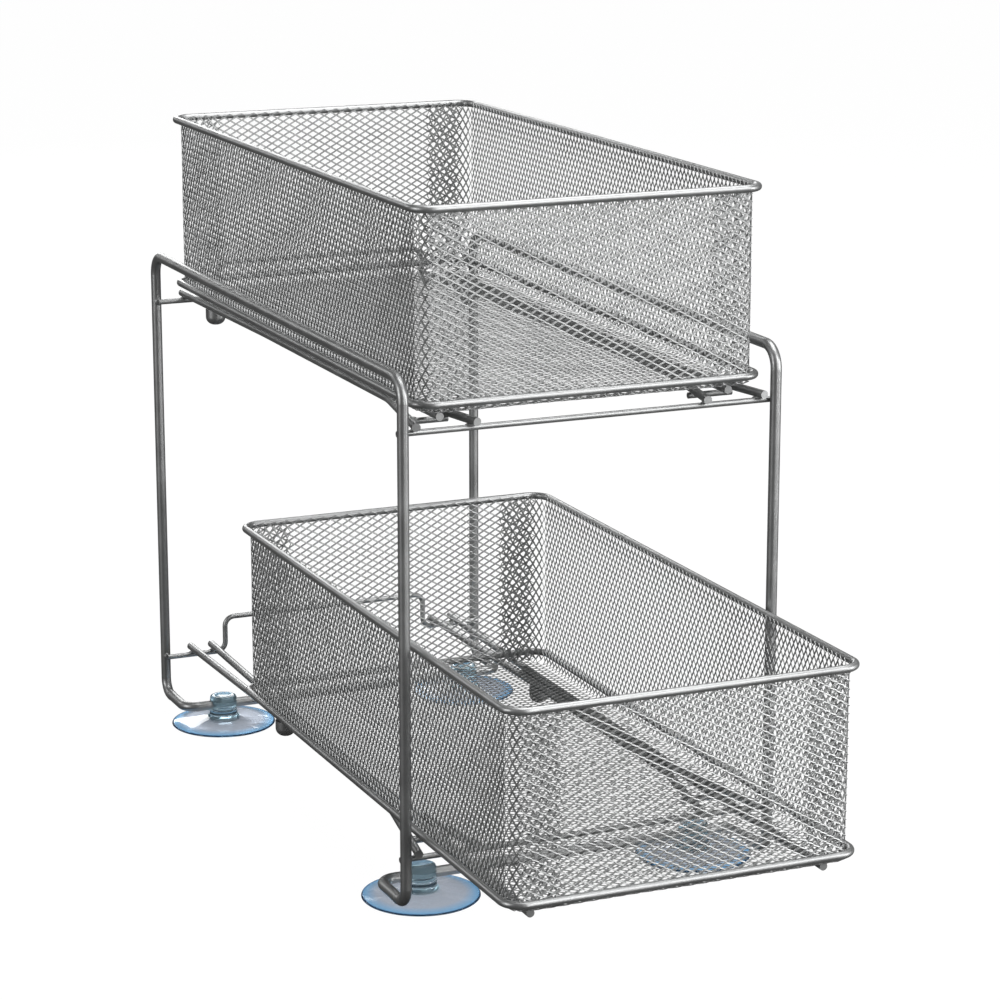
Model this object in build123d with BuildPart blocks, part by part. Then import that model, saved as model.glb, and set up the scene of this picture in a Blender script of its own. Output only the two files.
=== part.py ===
"""Two-tier wire rack with two sliding mesh baskets on suction-cup feet.

Millimetres, +Z up. X runs across the rack, -Y is the front and the way a basket pulls out.
The origin is on the floor, under the middle of the whole part with the lower basket drawn out.
"""

import os
from math import cos, radians, sin, sqrt

from build123d import *

# ---------------------------------------------------------------- driving sizes
# baskets
basket_wire_r = 2.1
basket_width = 195.8  # between the centre lines of the rim's long sides
basket_depth = 397.2
basket_corner = 11.0
loop_to_rim = 100.0
loop_above_pan = 5.9
runner_r = 2.2
runner_inset = 8.6  # from the rim's centre line to the runner's end
runner_seat_clearance = 0.15
closed_y = -6.4  # middle of a closed basket
shown_travel = {"upper": 0.0, "lower": 114.8}  # how far each basket is drawn out here

# guide feet that hang under the rails and stop the basket tipping
guide_inset = 30.6  # from the rim's centre line to the guide foot
guide_neck_r = 1.3
guide_foot_r = 6.0
guide_foot_gap = 1.0
guide_foot_height = 9.4

# expanded mesh
mesh_thickness = 1.0
mesh_seat_clearance = 0.05  # between the mesh and the wires it is welded to
mesh_border = 3.0
mesh_strand = 2.6
mesh_above_rim = 1.2
mesh_corner = 8.0
mesh_lap_clearance = 0.6  # between a side panel and the rounded edge of a corner wrap
flap_length = 22.0
wall_rows = 6
side_columns = 13
end_columns = 6
pan_columns = 7
pan_rows = 14

# rack of heavy wire, which follows the baskets' sizes
hoop_wire_r = 3.0
basket_side_clearance = 3.5  # from a basket's rim to the hoop beside it
rack_spare_depth = 12.8  # how much deeper the rack is than a basket
hoop_above_upper_level = 28.8
hoop_top_bend = 12.0
foot_bend = 9.0
foot_run = 2.0  # straight run behind the foot bend, where the base wire is butt-welded on
base_inset = 40.0  # how far the base wires lie inside the legs
base_wire_height = 12.0

# cross wires of each level
cross_wire_r = 1.6
cross_wire_overhang = 1.5
level_heights = {"upper": 264.2, "lower": 35.6}  # centre of the cross wires
backstop_rise = 22.0
backstop_inset = 14.65  # from the middle of a rail pair to the backstop's upright
backstop_bend = 6.0

# rails, in pairs that each carry one runner of a basket
rail_r = 2.25
rail_pair_inset = 15.25  # from the rim's centre line to the middle of the pair
rail_overhang = 5.5
rail_half_gap = 3.9  # centre of the pair to a rail's centre, on the straight stretch
rail_rear_half_gap = 6.9
rail_front_half_gap = 16.8
rail_rear_splay = 145.0  # how far from the rear legs the rails start to part
rail_front_splay = 70.0
rail_splay_bend = 60.0
stop_wire_r = 1.7
stop_wire_inset = 30.0  # behind the front legs
stop_wire_length = 26.0

# suction cups
cup_r = 32.3
cup_inset_x = 24.5  # from a leg's centre line to the cup's middle
cup_rim_land = 3.0
cup_rim_thickness = 1.0
cup_hollow = 2.2
cup_dome_height = 5.2
cup_post_r = 8.6
cup_post_top = 17.8
cup_rib_depth = 0.6
cup_rib_pitch = 3.0
cup_wire_clearance = 0.05

# ---------------------------------------------------------------- worked-out places
rack_width = basket_width + 2 * (basket_wire_r + basket_side_clearance + hoop_wire_r)
rack_depth = basket_depth + rack_spare_depth
leg_x = rack_width / 2
leg_y = rack_depth / 2
foot_weld_y = leg_y - foot_bend - foot_run
hoop_top_z = level_heights["upper"] + hoop_above_upper_level
base_y = leg_y - base_inset
cup_x = leg_x - cup_inset_x
cross_y = leg_y - hoop_wire_r - cross_wire_r
rail_pair_x = basket_width / 2 - rail_pair_inset
backstop_half_width = rail_pair_x - backstop_inset
rail_end_y = cross_y + rail_overhang
rail_front_splay_y = -(leg_y - rail_front_splay)
rail_rear_splay_y = leg_y - rail_rear_splay
rail_above_cross = cross_wire_r + rail_r
stop_wire_y = -(leg_y - stop_wire_inset)
runner_above_rail = sqrt((rail_r + runner_r) ** 2 - rail_half_gap**2) + runner_seat_clearance
runner_length = basket_depth - 2 * runner_inset
guide_y = basket_depth / 2 - guide_inset
wall_x = basket_width / 2 - basket_wire_r - mesh_seat_clearance  # outer face of the mesh
wall_y = basket_depth / 2 - basket_wire_r - mesh_seat_clearance

# the drawn-out basket reaches forward of the rack, so the whole part is moved back to centre it
front_reach = closed_y - shown_travel["lower"] - basket_depth / 2 - basket_wire_r
rear_reach = leg_y + hoop_wire_r
centre_shift = Vector(0, -(front_reach + rear_reach) / 2, 0)

os.makedirs("parts", exist_ok=True)


def save(piece, name):
    """Move a finished piece to the part's own origin, label it and write it."""
    placed = piece.part.moved(Location(centre_shift))
    placed.label = name
    export_step(placed, f"parts/{name}.step")


def wire(name, points, radius, bend=None, closed=False):
    """A round wire along straight runs joined by bends."""
    with BuildPart() as piece:
        with BuildLine() as route:
            if bend:
                FilletPolyline(*points, radius=bend, close=closed)
            else:
                Polyline(*points)
        with BuildSketch(Plane(origin=route.line @ 0, z_dir=route.line % 0)):
            Circle(radius)
        sweep(path=route.line)
    save(piece, name)


# ---------------------------------------------------------------- rack
def side_hoop(side, x):
    """Front leg, top rail and rear leg in one bent wire, with the foot bends."""
    points = [
        (x, -foot_weld_y, base_wire_height),
        (x, -leg_y, base_wire_height),
        (x, -leg_y, hoop_top_z),
        (x, leg_y, hoop_top_z),
        (x, leg_y, base_wire_height),
        (x, foot_weld_y, base_wire_height),
    ]
    bends = [foot_bend, hoop_top_bend, hoop_top_bend, foot_bend]
    wire(f"{side}_side_hoop", points, hoop_wire_r, bends)


def base_wire(end, direction):
    """Runs in from one foot, across the floor and back out to the other foot."""
    start_y = direction * foot_weld_y
    points = [
        (-leg_x, start_y, base_wire_height),
        (-leg_x, direction * base_y, base_wire_height),
        (leg_x, direction * base_y, base_wire_height),
        (leg_x, start_y, base_wire_height),
    ]
    wire(f"{end}_base_wire", points, hoop_wire_r, foot_bend)


def front_bar(level, z):
    reach = leg_x + cross_wire_overhang
    wire(f"{level}_front_bar", [(-reach, -cross_y, z), (reach, -cross_y, z)], cross_wire_r)


def rear_wire(level, z):
    """Cross wire behind, raised in the middle as a backstop for the basket."""
    top = z + backstop_rise
    points = [
        (-leg_x, cross_y, z),
        (-backstop_half_width, cross_y, z),
        (-backstop_half_width, cross_y, top),
        (backstop_half_width, cross_y, top),
        (backstop_half_width, cross_y, z),
        (leg_x, cross_y, z),
    ]
    wire(f"{level}_rear_wire", points, cross_wire_r, backstop_bend)


def rail_pair(level, side, sign, z):
    """Two rails that run close together and splay apart at both ends."""
    pair_x = sign * rail_pair_x
    for place, outward in (("outer", sign), ("inner", -sign)):
        points = [
            (pair_x + outward * rail_front_half_gap, -rail_end_y, z),
            (pair_x + outward * rail_half_gap, rail_front_splay_y, z),
            (pair_x + outward * rail_half_gap, rail_rear_splay_y, z),
            (pair_x + outward * rail_rear_half_gap, rail_end_y, z),
        ]
        wire(f"{level}_{side}_{place}_rail", points, rail_r, rail_splay_bend)


def stop_wire(level, side, sign, rail_z):
    """Short wire under a rail pair, which a guide foot meets before the basket leaves the rails."""
    z = rail_z - rail_r - stop_wire_r
    half = stop_wire_length / 2
    pair_x = sign * rail_pair_x
    points = [(pair_x - half, stop_wire_y, z), (pair_x + half, stop_wire_y, z)]
    wire(f"{level}_{side}_stop_wire", points, stop_wire_r)


def suction_cup(name, x, y):
    """Flared disc with a ribbed post, which the base wire passes through."""
    rib_count = int((cup_post_top - cup_dome_height) / cup_rib_pitch) - 1
    with BuildPart() as cup:
        with BuildSketch(Plane.XZ.offset(-y)):
            with BuildLine():
                Polyline(
                    (x, cup_hollow),
                    (x + cup_r - cup_rim_land, 0),
                    (x + cup_r, 0),
                    (x + cup_r, cup_rim_thickness),
                )
                Spline(
                    (x + cup_r, cup_rim_thickness),
                    (x + (cup_r + cup_post_r) / 2, (cup_rim_thickness + cup_dome_height) * 0.42),
                    (x + cup_post_r, cup_dome_height),
                )
                Polyline(
                    (x + cup_post_r, cup_dome_height),
                    (x + cup_post_r, cup_post_top),
                    (x, cup_post_top),
                    (x, cup_hollow),
                )
            make_face()
        revolve(axis=Axis((x, y, 0), (0, 0, 1)))
        for rib in range(rib_count):
            groove_z = cup_dome_height + (rib + 1) * cup_rib_pitch
            with BuildSketch(Plane.XZ.offset(-y)):
                with Locations((x + cup_post_r, groove_z)):
                    Circle(cup_rib_depth)
            revolve(axis=Axis((x, y, 0), (0, 0, 1)), mode=Mode.SUBTRACT)
        with BuildSketch(Plane.YZ.offset(x - cup_r)):
            with Locations((y, base_wire_height)):
                Circle(hoop_wire_r + cup_wire_clearance)
        extrude(amount=2 * cup_r, mode=Mode.SUBTRACT)
        fillet(cup.edges().group_by(Axis.Z)[-1], radius=cup_rib_depth * 2)
    save(cup, name)


# ---------------------------------------------------------------- baskets
def basket_ring(name, y, z):
    """Closed rectangle of wire round the outside of the mesh."""
    half_x = basket_width / 2
    half_y = basket_depth / 2
    points = [
        (half_x, y - half_y, z),
        (half_x, y + half_y, z),
        (-half_x, y + half_y, z),
        (-half_x, y - half_y, z),
    ]
    wire(name, points, basket_wire_r, basket_corner, closed=True)


def net(name, plane, width, height, columns, rows):
    """Flat expanded-metal panel: a holed face with staggered diamonds, given its thickness."""
    pitch_x = (width - 2 * mesh_border) / columns
    pitch_y = (height - 2 * mesh_border) / rows
    diamond_x = (pitch_x - mesh_strand) / 2
    diamond_y = (pitch_y - mesh_strand) / 2
    diamond = [(-diamond_x, 0), (0, -diamond_y), (diamond_x, 0), (0, diamond_y)]
    with BuildPart() as panel:
        with BuildSketch(plane):
            Rectangle(width, height)
            with GridLocations(pitch_x, pitch_y, columns, rows):
                Polygon(*diamond, mode=Mode.SUBTRACT)
            with GridLocations(pitch_x, pitch_y, columns - 1, rows - 1):
                Polygon(*diamond, mode=Mode.SUBTRACT)
        extrude(amount=mesh_thickness)
    save(panel, name)


def corner_wraps(name, y, bottom_z, top_z):
    """Mesh that turns each upright corner and laps behind the end wall, one solid a corner."""
    end_wall_inside = wall_y - mesh_thickness
    middle_r = mesh_corner - mesh_thickness / 2
    with BuildPart() as wraps:
        with BuildSketch(Plane.XY.offset(bottom_z)):
            for sign_x in (-1, 1):
                for sign_y in (-1, 1):
                    centre_x = sign_x * (wall_x - mesh_corner)
                    centre_y = sign_y * (end_wall_inside - mesh_corner)
                    with BuildLine():
                        flap_y = centre_y + sign_y * middle_r
                        flap_end = (centre_x - sign_x * (flap_length - mesh_corner), y + flap_y)
                        turn_start = (centre_x, y + flap_y)
                        turn_end = (centre_x + sign_x * middle_r, y + centre_y)
                        turn_middle = (
                            centre_x + sign_x * middle_r * sin(radians(45)),
                            y + centre_y + sign_y * middle_r * cos(radians(45)),
                        )
                        Line(flap_end, turn_start)
                        ThreePointArc(turn_start, turn_middle, turn_end)
                        offset(amount=mesh_thickness / 2)
                    make_face()
        extrude(amount=top_z - bottom_z)
    save(wraps, name)


def basket(level, rail_z):
    y = closed_y - shown_travel[level]
    runner_z = rail_z + runner_above_rail
    pan_z = runner_z + runner_r
    loop_z = pan_z + loop_above_pan
    rim_z = loop_z + loop_to_rim
    mesh_top = rim_z + mesh_above_rim
    wall_height = mesh_top - pan_z
    middle_z = (mesh_top + pan_z) / 2
    basket_ring(f"{level}_rim_wire", y, rim_z)
    basket_ring(f"{level}_bottom_loop", y, loop_z)

    # mesh: two long sides, two ends, the pan between them, and the corner wraps
    side_length = 2 * (wall_y - mesh_thickness - mesh_corner - mesh_lap_clearance)
    end_length = 2 * (wall_x - mesh_corner)
    left_plane = Plane(origin=(-wall_x, y, middle_z), x_dir=(0, 1, 0), z_dir=(1, 0, 0))
    right_plane = Plane(origin=(wall_x, y, middle_z), x_dir=(0, 1, 0), z_dir=(-1, 0, 0))
    front_plane = Plane(origin=(0, y - wall_y, middle_z), x_dir=(1, 0, 0), z_dir=(0, 1, 0))
    rear_plane = Plane(origin=(0, y + wall_y, middle_z), x_dir=(1, 0, 0), z_dir=(0, -1, 0))
    pan_plane = Plane(origin=(0, y, pan_z), x_dir=(1, 0, 0), z_dir=(0, 0, 1))
    net(f"{level}_left_mesh", left_plane, side_length, wall_height, side_columns, wall_rows)
    net(f"{level}_right_mesh", right_plane, side_length, wall_height, side_columns, wall_rows)
    net(f"{level}_front_mesh", front_plane, end_length, wall_height, end_columns, wall_rows)
    net(f"{level}_rear_mesh", rear_plane, end_length, wall_height, end_columns, wall_rows)
    pan_width = 2 * (wall_x - mesh_thickness)
    pan_depth = 2 * (wall_y - mesh_thickness)
    net(f"{level}_pan_mesh", pan_plane, pan_width, pan_depth, pan_columns, pan_rows)
    corner_wraps(f"{level}_corner_wraps", y, pan_z + mesh_thickness, mesh_top)

    for side, sign in (("left", -1), ("right", 1)):
        x = sign * rail_pair_x
        half = runner_length / 2
        wire(f"{level}_{side}_runner", [(x, y - half, runner_z), (x, y + half, runner_z)], runner_r)
        guide(f"{level}_{side}_guide", x, y + guide_y, runner_z, rail_z)


def guide(name, x, y, runner_z, rail_z):
    """Neck between the rails and a round-nosed foot under them."""
    foot_top = rail_z - rail_r - guide_foot_gap
    foot_bottom = foot_top - guide_foot_height
    with BuildPart() as foot:
        with BuildSketch(Plane.XY.offset(foot_top)):
            with Locations((x, y)):
                Circle(guide_foot_r)
        extrude(amount=-guide_foot_height)
        fillet(foot.edges().group_by(Axis.Z)[0], radius=guide_foot_r * 0.8)
        with BuildSketch(Plane.XY.offset(foot_top)):
            with Locations((x, y)):
                Circle(guide_neck_r)
        extrude(amount=runner_z - foot_top)
        with BuildSketch(Plane.XZ.offset(-y - guide_foot_r)):
            with Locations((x, runner_z)):
                Circle(runner_r)
        extrude(amount=2 * guide_foot_r, mode=Mode.SUBTRACT)
    save(foot, name)


# ---------------------------------------------------------------- build
side_hoop("left", -leg_x)
side_hoop("right", leg_x)
base_wire("front", -1)
base_wire("rear", 1)
for cup_end, cup_y in (("front", -base_y), ("rear", base_y)):
    for cup_side, cup_sign in (("left", -1), ("right", 1)):
        suction_cup(f"{cup_end}_{cup_side}_cup", cup_sign * cup_x, cup_y)
for tier, tier_z in level_heights.items():
    front_bar(tier, tier_z)
    rear_wire(tier, tier_z)
    tier_rail_z = tier_z + rail_above_cross
    for rail_side, rail_sign in (("left", -1), ("right", 1)):
        rail_pair(tier, rail_side, rail_sign, tier_rail_z)
        stop_wire(tier, rail_side, rail_sign, tier_rail_z)
    basket(tier, tier_rail_z)
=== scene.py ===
"""Looks of the two-tier wire rack and its two pull-out mesh baskets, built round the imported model.

Metres, +Z up, -Y the front. Every piece lies where it belongs in the part's own frame.
"""

from math import cos, pi, sin, sqrt

import bmesh
import bpy
from mathutils import Matrix, Vector, noise


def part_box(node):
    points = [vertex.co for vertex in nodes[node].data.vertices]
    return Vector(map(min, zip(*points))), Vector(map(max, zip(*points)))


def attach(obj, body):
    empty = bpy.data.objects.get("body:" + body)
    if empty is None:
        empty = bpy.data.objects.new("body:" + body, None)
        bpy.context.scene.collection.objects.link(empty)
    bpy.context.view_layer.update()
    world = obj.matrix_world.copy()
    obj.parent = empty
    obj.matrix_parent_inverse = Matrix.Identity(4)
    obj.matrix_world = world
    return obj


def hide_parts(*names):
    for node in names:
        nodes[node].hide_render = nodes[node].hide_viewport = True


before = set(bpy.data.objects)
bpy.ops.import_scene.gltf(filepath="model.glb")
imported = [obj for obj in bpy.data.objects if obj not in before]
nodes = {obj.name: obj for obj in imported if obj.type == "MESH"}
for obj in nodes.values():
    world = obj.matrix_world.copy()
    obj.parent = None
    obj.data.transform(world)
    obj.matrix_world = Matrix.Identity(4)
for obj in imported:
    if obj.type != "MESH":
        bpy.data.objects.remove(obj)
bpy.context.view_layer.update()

MM = 0.001

# ---------------------------------------------------------------- sizes of the expanded mesh
mesh_strand = 0.92 * MM  # width of a strand, in the plane of the sheet
mesh_steel_thickness = 0.32 * MM
side_lean, end_lean, pan_lean = 0.1 * MM, 0.2 * MM, 0.2 * MM  # one edge of each strand is this far ahead
mesh_half_depth = 0.5 * MM
mesh_foot_radius = 3.5 * MM  # the turn from wall to pan
mesh_corner_radius = 8 * MM
mesh_lap = 1.15 * MM  # the end wall lies this far outside the flap behind it
pan_columns, pan_rows = 24, 86  # diamonds across and along the pan, long way across
side_rows, wrap_rows = 84, 7  # diamonds along a side wall, and round a corner to the end of its flap
side_columns = 15  # diamonds up a side wall, which stand upright there
end_rows = 25
sheet_wave = 0.28 * MM
sheet_wave_length = 45 * MM
cup_steps = 72  # flat sides round a turned cup
floor_drop = 0.2 * MM  # the floor lies this far below the cups

# half sizes of the weld beads: across, along and up
rail_bead = (3.0 * MM, 1.5 * MM, 0.9 * MM)
leg_bead = (1.9 * MM, 0.9 * MM, 2.4 * MM)
stop_bead = (2.8 * MM, 1.4 * MM, 0.8 * MM)
foot_bead = (3.3 * MM, 1.3 * MM, 3.3 * MM)
stop_bead_inset = 6 * MM  # from each end of a stop wire
foot_bead_inset = 3 * MM  # from each end of a base wire

levels = ("upper", "lower")


# ---------------------------------------------------------------- material helpers
def new_material(name):
    """An empty material, its node tree and its main shader."""
    material = bpy.data.materials.new(name)
    material.use_nodes = True
    tree = material.node_tree
    return material, tree, tree.nodes["Principled BSDF"]


def add(tree, kind, **values):
    """A shader node with some of its properties and input sockets set."""
    node = tree.nodes.new(kind)
    for key, value in values.items():
        if key in node.inputs:
            node.inputs[key].default_value = value
        else:
            setattr(node, key, value)
    return node


def object_noise(tree, scale, detail):
    """Noise that is fixed to the object, with its scale in features per metre."""
    place = add(tree, "ShaderNodeTexCoord")
    grain = add(tree, "ShaderNodeTexNoise", Scale=scale, Detail=detail)
    tree.links.new(place.outputs["Object"], grain.inputs["Vector"])
    return grain.outputs["Fac"]


def spread(tree, source, low, high, from_low=0.3, from_high=0.7):
    """A value between low and high, driven by a noise."""
    ranged = add(tree, "ShaderNodeMapRange")
    for key, value in (("From Min", from_low), ("From Max", from_high), ("To Min", low), ("To Max", high)):
        ranged.inputs[key].default_value = value
    tree.links.new(source, ranged.inputs["Value"])
    return ranged.outputs["Result"]


def blend_colours(tree, factor, first, second):
    """A blend of two colours. A Mix node has sockets for each type of value, so its colours go by number."""
    first_socket, second_socket, result_socket = 6, 7, 2
    mix = add(tree, "ShaderNodeMix", data_type="RGBA")
    mix.inputs[first_socket].default_value = (*first, 1)
    mix.inputs[second_socket].default_value = (*second, 1)
    tree.links.new(factor, mix.inputs["Factor"])
    return mix.outputs[result_socket]


# ---------------------------------------------------------------- satin silver lacquer on steel
def satin_steel(name, dark, light, smooth, rough, grain_height):
    """Silver lacquer: fine metal flake, slow changes of tone, and a slightly pebbled skin."""
    material, tree, shader = new_material(name)
    flake = object_noise(tree, 2600, 1)
    cloud = object_noise(tree, 55, 3)
    pebble = object_noise(tree, 1100, 2)
    flake_share, cloud_share = 0.45, 0.55
    tone = add(tree, "ShaderNodeMath", operation="MULTIPLY_ADD")
    tone.inputs[1].default_value = flake_share
    tree.links.new(flake, tone.inputs[0])
    softened = add(tree, "ShaderNodeMath", operation="MULTIPLY")
    softened.inputs[1].default_value = cloud_share
    tree.links.new(cloud, softened.inputs[0])
    tree.links.new(softened.outputs[0], tone.inputs[2])
    level = spread(tree, tone.outputs[0], 0, 1, 0.35, 0.65)
    tree.links.new(blend_colours(tree, level, dark, light), shader.inputs["Base Color"])
    tree.links.new(spread(tree, cloud, smooth, rough), shader.inputs["Roughness"])
    bump = add(tree, "ShaderNodeBump", Strength=0.35, Distance=grain_height)
    tree.links.new(pebble, bump.inputs["Height"])
    tree.links.new(bump.outputs["Normal"], shader.inputs["Normal"])
    shader.inputs["Metallic"].default_value = 0.9
    return material


# ---------------------------------------------------------------- translucent suction cups
def cup_plastic():
    """Soft clear plastic, palest in the middle of the cup and bluest at its rim. The deeper blue towards the
    rim is painted light piping: the glow that light carried through the plastic gives its edge.
    """
    material, tree, shader = new_material("cup_plastic")
    reach = add(tree, "ShaderNodeAttribute", attribute_name="reach")
    ramp = add(tree, "ShaderNodeValToRGB")
    stops = ramp.color_ramp.elements
    stops[0].position, stops[0].color = 0.0, (0.54, 0.72, 0.82, 1)
    # the blue stops at 0.93 and 1.0 along the reach are painted light piping at the rim, not a deeper tint of
    # the plastic
    stops[1].position, stops[1].color = 1.0, (0.14, 0.36, 0.64, 1)
    for position, colour in ((0.28, (0.44, 0.66, 0.78, 1)), (0.33, (0.45, 0.49, 0.56, 1)),
                             (0.74, (0.44, 0.49, 0.57, 1)), (0.93, (0.24, 0.46, 0.70, 1))):
        stop = stops.new(position)
        stop.color = colour
    tree.links.new(reach.outputs["Fac"], ramp.inputs["Fac"])
    tree.links.new(ramp.outputs["Color"], shader.inputs["Base Color"])
    tree.links.new(spread(tree, object_noise(tree, 300, 2), 0.05, 0.10), shader.inputs["Roughness"])
    bump = add(tree, "ShaderNodeBump", Strength=0.1, Distance=0.04 * MM)
    tree.links.new(object_noise(tree, 160, 2), bump.inputs["Height"])
    tree.links.new(bump.outputs["Normal"], shader.inputs["Normal"])
    shader.inputs["Transmission Weight"].default_value = 0.92
    shader.inputs["IOR"].default_value = 1.33
    return material


# ---------------------------------------------------------------- finishing a piece
def finish_piece(mesh_maker, name, material, body, replaced=(), smooth=False):
    """Turn a bmesh into an object that rides on a body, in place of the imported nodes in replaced."""
    mesh = bpy.data.meshes.new(name)
    mesh_maker.to_mesh(mesh)
    mesh_maker.free()
    if smooth:
        mesh.polygons.foreach_set("use_smooth", [True] * len(mesh.polygons))
    piece = bpy.data.objects.new(name, mesh)
    bpy.context.scene.collection.objects.link(piece)
    mesh.materials.append(material)
    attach(piece, body)
    if replaced:
        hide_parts(*replaced)
    return piece


# ---------------------------------------------------------------- expanded mesh
def expanded_sheet(columns, rows, length, height, lean):
    """Flat expanded metal from (0, 0) to (length, height), diamonds the long way along X.
    Its strands lean like slats, with the edge towards +Y further out, at +Z, by lean."""
    pitch_x, pitch_y = length / columns, height / rows
    count = columns + rows + 2 + (columns + rows) % 2
    sheet = bmesh.new()
    bmesh.ops.create_grid(sheet, x_segments=count, y_segments=count, size=count / 2)
    bmesh.ops.rotate(sheet, cent=(0, 0, 0), matrix=Matrix.Rotation(pi / 4, 3, "Z"), verts=sheet.verts)
    bmesh.ops.scale(sheet, vec=(pitch_x / sqrt(2), pitch_y / sqrt(2), 1), verts=sheet.verts)
    bmesh.ops.translate(sheet, vec=(columns // 2 * pitch_x, rows // 2 * pitch_y, 0), verts=sheet.verts)
    margin = 0.4  # in diamonds; the outermost whole diamonds have their middles half a diamond in
    outside = []
    for cell in sheet.faces:
        across, up = cell.calc_center_median().x / pitch_x, cell.calc_center_median().y / pitch_y
        if not (margin < across < columns - margin and margin < up < rows - margin):
            outside.append(cell)
    bmesh.ops.delete(sheet, geom=outside, context="FACES")

    # each diamond's hole, whose far end lies back and near end stands out so that the strands lean
    holes = sheet.faces[:]
    bmesh.ops.inset_individual(sheet, faces=holes, thickness=mesh_strand / 2, use_even_offset=True)
    for hole in holes:
        middle_y = hole.calc_center_median().y
        for v in hole.verts:
            if abs(v.co.y - middle_y) > pitch_y / 8:
                v.co.z = -lean if v.co.y > middle_y else lean
    bmesh.ops.delete(sheet, geom=holes, context="FACES_ONLY")
    bmesh.ops.solidify(sheet, geom=sheet.faces[:], thickness=mesh_steel_thickness)
    return sheet


def foot_profile(t, out):
    """Distance in from the wall's face, and height, at length t along a wall that turns in at its foot."""
    turn = mesh_foot_radius * pi / 2
    if t > turn:
        return -out, mesh_foot_radius + t - turn
    angle = max(t, 0) / mesh_foot_radius
    radius = mesh_foot_radius + out
    return mesh_foot_radius - radius * sin(angle), mesh_foot_radius - radius * cos(angle)


def hang_sheet(sheet, plan, upright=False):
    """Bend a flat sheet to a wall: plan gives a point on the wall's face and the way in from it."""
    for v in sheet.verts:
        t, s, out = v.co if upright else v.co.yxz
        wave = noise.noise(Vector((s, t, 7 * MM)) / sheet_wave_length)
        inward, rise = foot_profile(t, out - mesh_half_depth + wave * sheet_wave)
        point, way_in = plan(s)
        v.co = (point.x + way_in.x * inward, point.y + way_in.y * inward, rise)
    bmesh.ops.recalc_face_normals(sheet, faces=sheet.faces[:])


class Basket:
    """Where a basket's walls and pan are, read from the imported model."""

    def __init__(self, level):
        side_low, side_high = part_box(f"{level}_right_mesh")
        front_low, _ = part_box(f"{level}_front_mesh")
        _, rear_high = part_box(f"{level}_rear_mesh")
        self.wall_x = side_high.x
        self.wall_y = (rear_high.y - front_low.y) / 2
        self.wall_height = side_high.z - side_low.z
        self.place = Matrix.Translation((0, (front_low.y + rear_high.y) / 2, side_low.z))


def wall_sheets(basket):
    """Every mesh panel of a basket, by the node that it stands for, about the basket's middle."""
    developed = basket.wall_height - mesh_foot_radius + mesh_foot_radius * pi / 2
    pan_x = basket.wall_x - mesh_foot_radius
    pan_y = basket.wall_y - mesh_foot_radius
    row_pitch = 2 * pan_y / pan_rows
    side_run = side_rows * row_pitch / 2
    sheets = {}
    for side, sign in (("left", -1), ("right", 1)):
        sheet = expanded_sheet(side_columns, side_rows, developed, 2 * side_run, side_lean)
        hang_sheet(sheet, lambda s: (Vector((sign * basket.wall_x, s - side_run)), Vector((-sign, 0))),
                   upright=True)
        sheets[f"{side}_mesh"] = sheet
    for end, sign in (("front", -1), ("rear", 1)):
        sheet = expanded_sheet(pan_columns, end_rows, 2 * pan_x, developed, sign * end_lean)
        hang_sheet(sheet, lambda s: (Vector((s - pan_x, sign * basket.wall_y)), Vector((0, -sign))))
        sheets[f"{end}_mesh"] = sheet

    # mesh that goes on from the sides, turns each upright corner, and ends as a flap behind the end wall
    wraps = bmesh.new()
    centre_x = basket.wall_x - mesh_corner_radius
    centre_y = basket.wall_y - mesh_lap - mesh_corner_radius
    wrap_run = wrap_rows * row_pitch
    turn_run = mesh_corner_radius * pi / 2
    flap_run = wrap_run - turn_run - (centre_y - side_run)
    for sign_x in (-1, 1):
        for sign_y in (-1, 1):
            centre = Vector((sign_x * centre_x, sign_y * centre_y))

            def plan(s):
                """Along the flap, round the corner and on to the side wall."""
                if s < flap_run:
                    return (centre + Vector((sign_x * (s - flap_run), sign_y * mesh_corner_radius)),
                            Vector((0, -sign_y)))
                if s > flap_run + turn_run:
                    past_turn = s - flap_run - turn_run
                    return (centre + Vector((sign_x * mesh_corner_radius, -sign_y * past_turn)),
                            Vector((-sign_x, 0)))
                angle = (s - flap_run) / mesh_corner_radius
                way_out = Vector((sign_x * sin(angle), sign_y * cos(angle)))
                return centre + way_out * mesh_corner_radius, -way_out

            sheet = expanded_sheet(side_columns, wrap_rows, developed, wrap_run, -sign_y * side_lean)
            hang_sheet(sheet, plan, upright=True)
            corner = bpy.data.meshes.new("corner")
            sheet.to_mesh(corner)
            sheet.free()
            wraps.from_mesh(corner)
            bpy.data.meshes.remove(corner)
    sheets["corner_wraps"] = wraps

    pan = expanded_sheet(pan_columns, pan_rows, 2 * pan_x, 2 * pan_y, pan_lean)
    bmesh.ops.translate(pan, vec=(-pan_x, -pan_y, 0), verts=pan.verts)
    for v in pan.verts:
        wave = noise.noise(v.co / sheet_wave_length)
        v.co.z = mesh_half_depth - v.co.z + sheet_wave * wave
    bmesh.ops.recalc_face_normals(pan, faces=pan.faces[:])
    sheets["pan_mesh"] = pan
    return sheets


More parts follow.
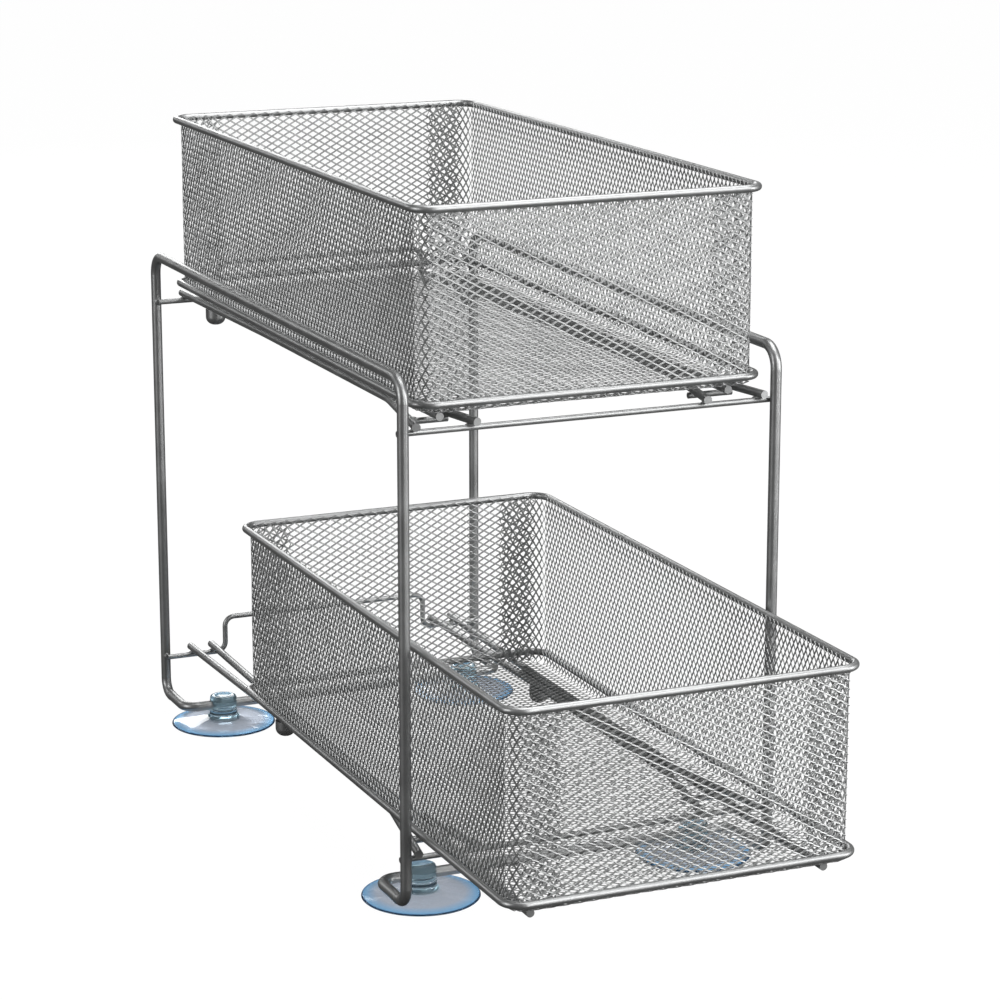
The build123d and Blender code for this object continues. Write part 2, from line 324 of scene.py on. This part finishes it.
# ---------------------------------------------------------------- suction cups
def suction_cup(node, material):
    """Thin flared disc, hollow below, with a ringed post that the base wire passes through."""
    low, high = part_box(node)
    centre = (low + high) / 2
    reach = (high.x - low.x) / 2
    hollow = [(0, 2.6), (9, 2.5), (18, 1.9), (26, 0.9), (30.6, 0.15)]
    rim = [(31.9, 0.0), (32.3, 0.35), (32.1, 0.85), (31.0, 1.1)]
    flare = [(27.5, 1.6), (22.5, 2.4), (17.0, 3.4), (12.6, 4.25), (10.2, 4.65), (9.1, 5.0), (8.7, 5.6)]
    rings = [(8.6, 8.4), (8.6, 9.2), (7.8, 9.6), (7.8, 10.1), (8.6, 10.5), (8.6, 11.4), (7.75, 11.8),
             (7.75, 12.3), (8.55, 12.7), (8.5, 13.6), (7.7, 14.0), (7.7, 14.5), (8.4, 14.9), (8.3, 16.4)]
    cap = [(7.9, 17.3), (6.9, 17.75), (5.4, 17.8), (4.4, 17.3), (2.0, 17.1), (0, 17.1)]
    outline = hollow + rim + flare + rings + cap  # distance from the axis and height, in mm
    cup = bmesh.new()
    points = [cup.verts.new((r * MM, 0, z * MM)) for r, z in outline]
    edges = [cup.edges.new(pair) for pair in zip(points, points[1:])]
    bmesh.ops.spin(cup, geom=points + edges, cent=(0, 0, 0), axis=(0, 0, 1), angle=2 * pi,
                   steps=cup_steps, use_merge=True)
    bmesh.ops.remove_doubles(cup, verts=cup.verts, dist=0.01 * MM)
    bmesh.ops.recalc_face_normals(cup, faces=cup.faces[:])
    radial = cup.verts.layers.float.new("reach")
    for v in cup.verts:
        v[radial] = v.co.xy.length / reach
    bmesh.ops.translate(cup, vec=(centre.x, centre.y, low.z), verts=cup.verts)
    return finish_piece(cup, f"{node}_plastic", material, "rack", (node,), smooth=True)


# ---------------------------------------------------------------- welds
def wire_tip(name, end):
    """Middle of the front or rear tip of a wire that runs along Y."""
    low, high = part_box(name)
    reach = low.y if end == "front" else high.y
    tip_depth = 0.3 * MM
    places = [nodes[name].matrix_world @ v.co for v in nodes[name].data.vertices]
    tip = [place for place in places if abs(place.y - reach) < tip_depth]
    return sum(tip, Vector()) / len(tip)


def weld_bead(welds, place, half_size):
    """A small flattened blob of weld metal."""
    bead = bmesh.ops.create_icosphere(welds, subdivisions=2, radius=1)["verts"]
    bmesh.ops.scale(welds, vec=half_size, verts=bead)
    bmesh.ops.translate(welds, vec=place, verts=bead)


def rack_welds(material):
    """Beads where rails, stops and cross wires meet, and where cross wires and base wires meet the legs."""
    welds = bmesh.new()
    for level in levels:
        for end, cross_wire in (("front", "front_bar"), ("rear", "rear_wire")):
            low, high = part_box(f"{level}_{cross_wire}")
            cross_y = (low.y + high.y) / 2
            cross_r = (high.y - low.y) / 2
            cross_z = low.z + cross_r
            leg_side = -cross_r if end == "front" else cross_r
            for side in ("left", "right"):
                for place in ("outer", "inner"):
                    tip = wire_tip(f"{level}_{side}_{place}_rail", end)
                    weld_bead(welds, (tip.x, cross_y, cross_z + cross_r), rail_bead)
                hoop_low, hoop_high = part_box(f"{side}_side_hoop")
                hoop_x = (hoop_low.x + hoop_high.x) / 2
                weld_bead(welds, (hoop_x, cross_y + leg_side, cross_z), leg_bead)
        for side in ("left", "right"):
            low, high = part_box(f"{level}_{side}_stop_wire")
            for x in (low.x + stop_bead_inset, high.x - stop_bead_inset):
                weld_bead(welds, (x, (low.y + high.y) / 2, high.z), stop_bead)
    for side in ("left", "right"):
        for end in ("front", "rear"):
            low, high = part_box(f"{end}_base_wire")
            joint_x = low.x + foot_bead_inset if side == "left" else high.x - foot_bead_inset
            joint_y = low.y if end == "front" else high.y
            weld_bead(welds, (joint_x, joint_y, (low.z + high.z) / 2), foot_bead)
    return finish_piece(welds, "rack_welds", material, "rack", smooth=True)


# ---------------------------------------------------------------- build
wire_steel = satin_steel("wire_steel", (0.34, 0.345, 0.345), (0.44, 0.445, 0.445), 0.36, 0.46, 0.03 * MM)
mesh_steel = satin_steel("mesh_steel", (0.33, 0.335, 0.335), (0.45, 0.455, 0.455), 0.38, 0.48, 0.02 * MM)
plastic = cup_plastic()

for name, node in nodes.items():
    node.data.materials.clear()
    node.data.materials.append(plastic if name.endswith("_cup") else wire_steel)

# the two baskets are alike, so each sheet is made once and hung on both
for panel, sheet in wall_sheets(Basket("upper")).items():
    for level in levels:
        basket = Basket(level)
        copy = sheet.copy()
        bmesh.ops.transform(copy, matrix=basket.place, verts=copy.verts)
        finish_piece(copy, f"{level}_{panel}_expanded", mesh_steel, f"{level}_basket",
                     (f"{level}_{panel}",))
    sheet.free()

for end in ("front", "rear"):
    for side in ("left", "right"):
        suction_cup(f"{end}_{side}_cup", plastic)

rack_welds(wire_steel)


# ---------------------------------------------------------------- floor
def pale_floor():
    """Pale paper floor. What the object mirrors of it is darker than what the eye sees, as on a lit table."""
    sweep = bmesh.new()
    bmesh.ops.create_grid(sweep, x_segments=1, y_segments=1, size=40)
    mesh = bpy.data.meshes.new("floor")
    sweep.to_mesh(mesh)
    sweep.free()
    floor = bpy.data.objects.new("floor", mesh)
    floor.location.z = -floor_drop
    bpy.context.scene.collection.objects.link(floor)
    material, tree, shader = new_material("floor_paper")
    shader.inputs["Base Color"].default_value = (0.10, 0.10, 0.10, 1)
    shader.inputs["Roughness"].default_value = 0.9
    shader.inputs["Specular IOR Level"].default_value = 0.1
    seen = add(tree, "ShaderNodeBsdfDiffuse", Color=(0.04, 0.04, 0.04, 1))
    glow = add(tree, "ShaderNodeEmission", Color=(1, 1, 1, 1), Strength=0.985)
    lit = add(tree, "ShaderNodeAddShader")
    path = add(tree, "ShaderNodeLightPath")
    either = add(tree, "ShaderNodeMath", operation="MAXIMUM")
    choose = add(tree, "ShaderNodeMixShader")
    tree.links.new(seen.outputs[0], lit.inputs[0])
    tree.links.new(glow.outputs[0], lit.inputs[1])
    tree.links.new(path.outputs["Is Camera Ray"], either.inputs[0])
    tree.links.new(path.outputs["Is Transmission Ray"], either.inputs[1])
    tree.links.new(either.outputs[0], choose.inputs[0])
    tree.links.new(shader.outputs[0], choose.inputs[1])
    tree.links.new(lit.outputs[0], choose.inputs[2])
    tree.links.new(choose.outputs[0], tree.nodes["Material Output"].inputs["Surface"])
    mesh.materials.append(material)


pale_floor()


# ---------------------------------------------------------------- light
def soft_box(name, place, aim, width, height, power):
    """A flat lamp at a place, turned to face its aim."""
    light = bpy.data.lights.new(name, "AREA")
    light.shape = "RECTANGLE"
    light.size, light.size_y = width, height
    light.energy = power
    box = bpy.data.objects.new(name, light)
    box.location = place
    box.rotation_euler = (Vector(aim) - Vector(place)).to_track_quat("-Z", "Y").to_euler()
    bpy.context.scene.collection.objects.link(box)


middle = Vector((0, 0, 0.19))
soft_box("key_light", (0.9, -2.0, 1.5), middle, 1.3, 1.3, 27)
soft_box("right_light", (1.5, -1.1, 0.45), (0, 0, 0.45), 0.4, 0.9, 13)
soft_box("low_light", (0.45, -2.2, 0.3), (0, 0, 0.2), 0.3, 0.6, 7)
soft_box("left_light", (-2.0, -0.3, 0.7), middle, 0.7, 1.2, 12)
soft_box("left_back_light", (-1.3, 1.9, 1.15), middle, 0.9, 0.6, 5)
soft_box("top_light", (0.4, -0.1, 2.0), middle, 1.3, 1.3, 28)
soft_box("back_light", (0.5, 2.6, 1.0), middle, 1.0, 0.8, 14)

world = bpy.data.worlds.new("studio")
bpy.context.scene.world = world
world.use_nodes = True
room = world.node_tree.nodes["Background"]
room.inputs["Color"].default_value = (1, 1, 1, 1)
room.inputs["Strength"].default_value = 0.13

# ---------------------------------------------------------------- camera, where the photograph was taken from
camera_data = bpy.data.cameras.new("camera")
camera_data.sensor_width = 36
camera_data.lens = 115.75
camera_data.clip_start, camera_data.clip_end = 0.1, 200
camera = bpy.data.objects.new("camera", camera_data)
camera.location = (-0.6928, -1.6202, 0.6252)
camera.rotation_euler = (pi / 2 - 0.244, 0, -0.410)
bpy.context.scene.collection.objects.link(camera)
bpy.context.scene.camera = camera

bpy.context.scene.view_settings.view_transform = "Standard"
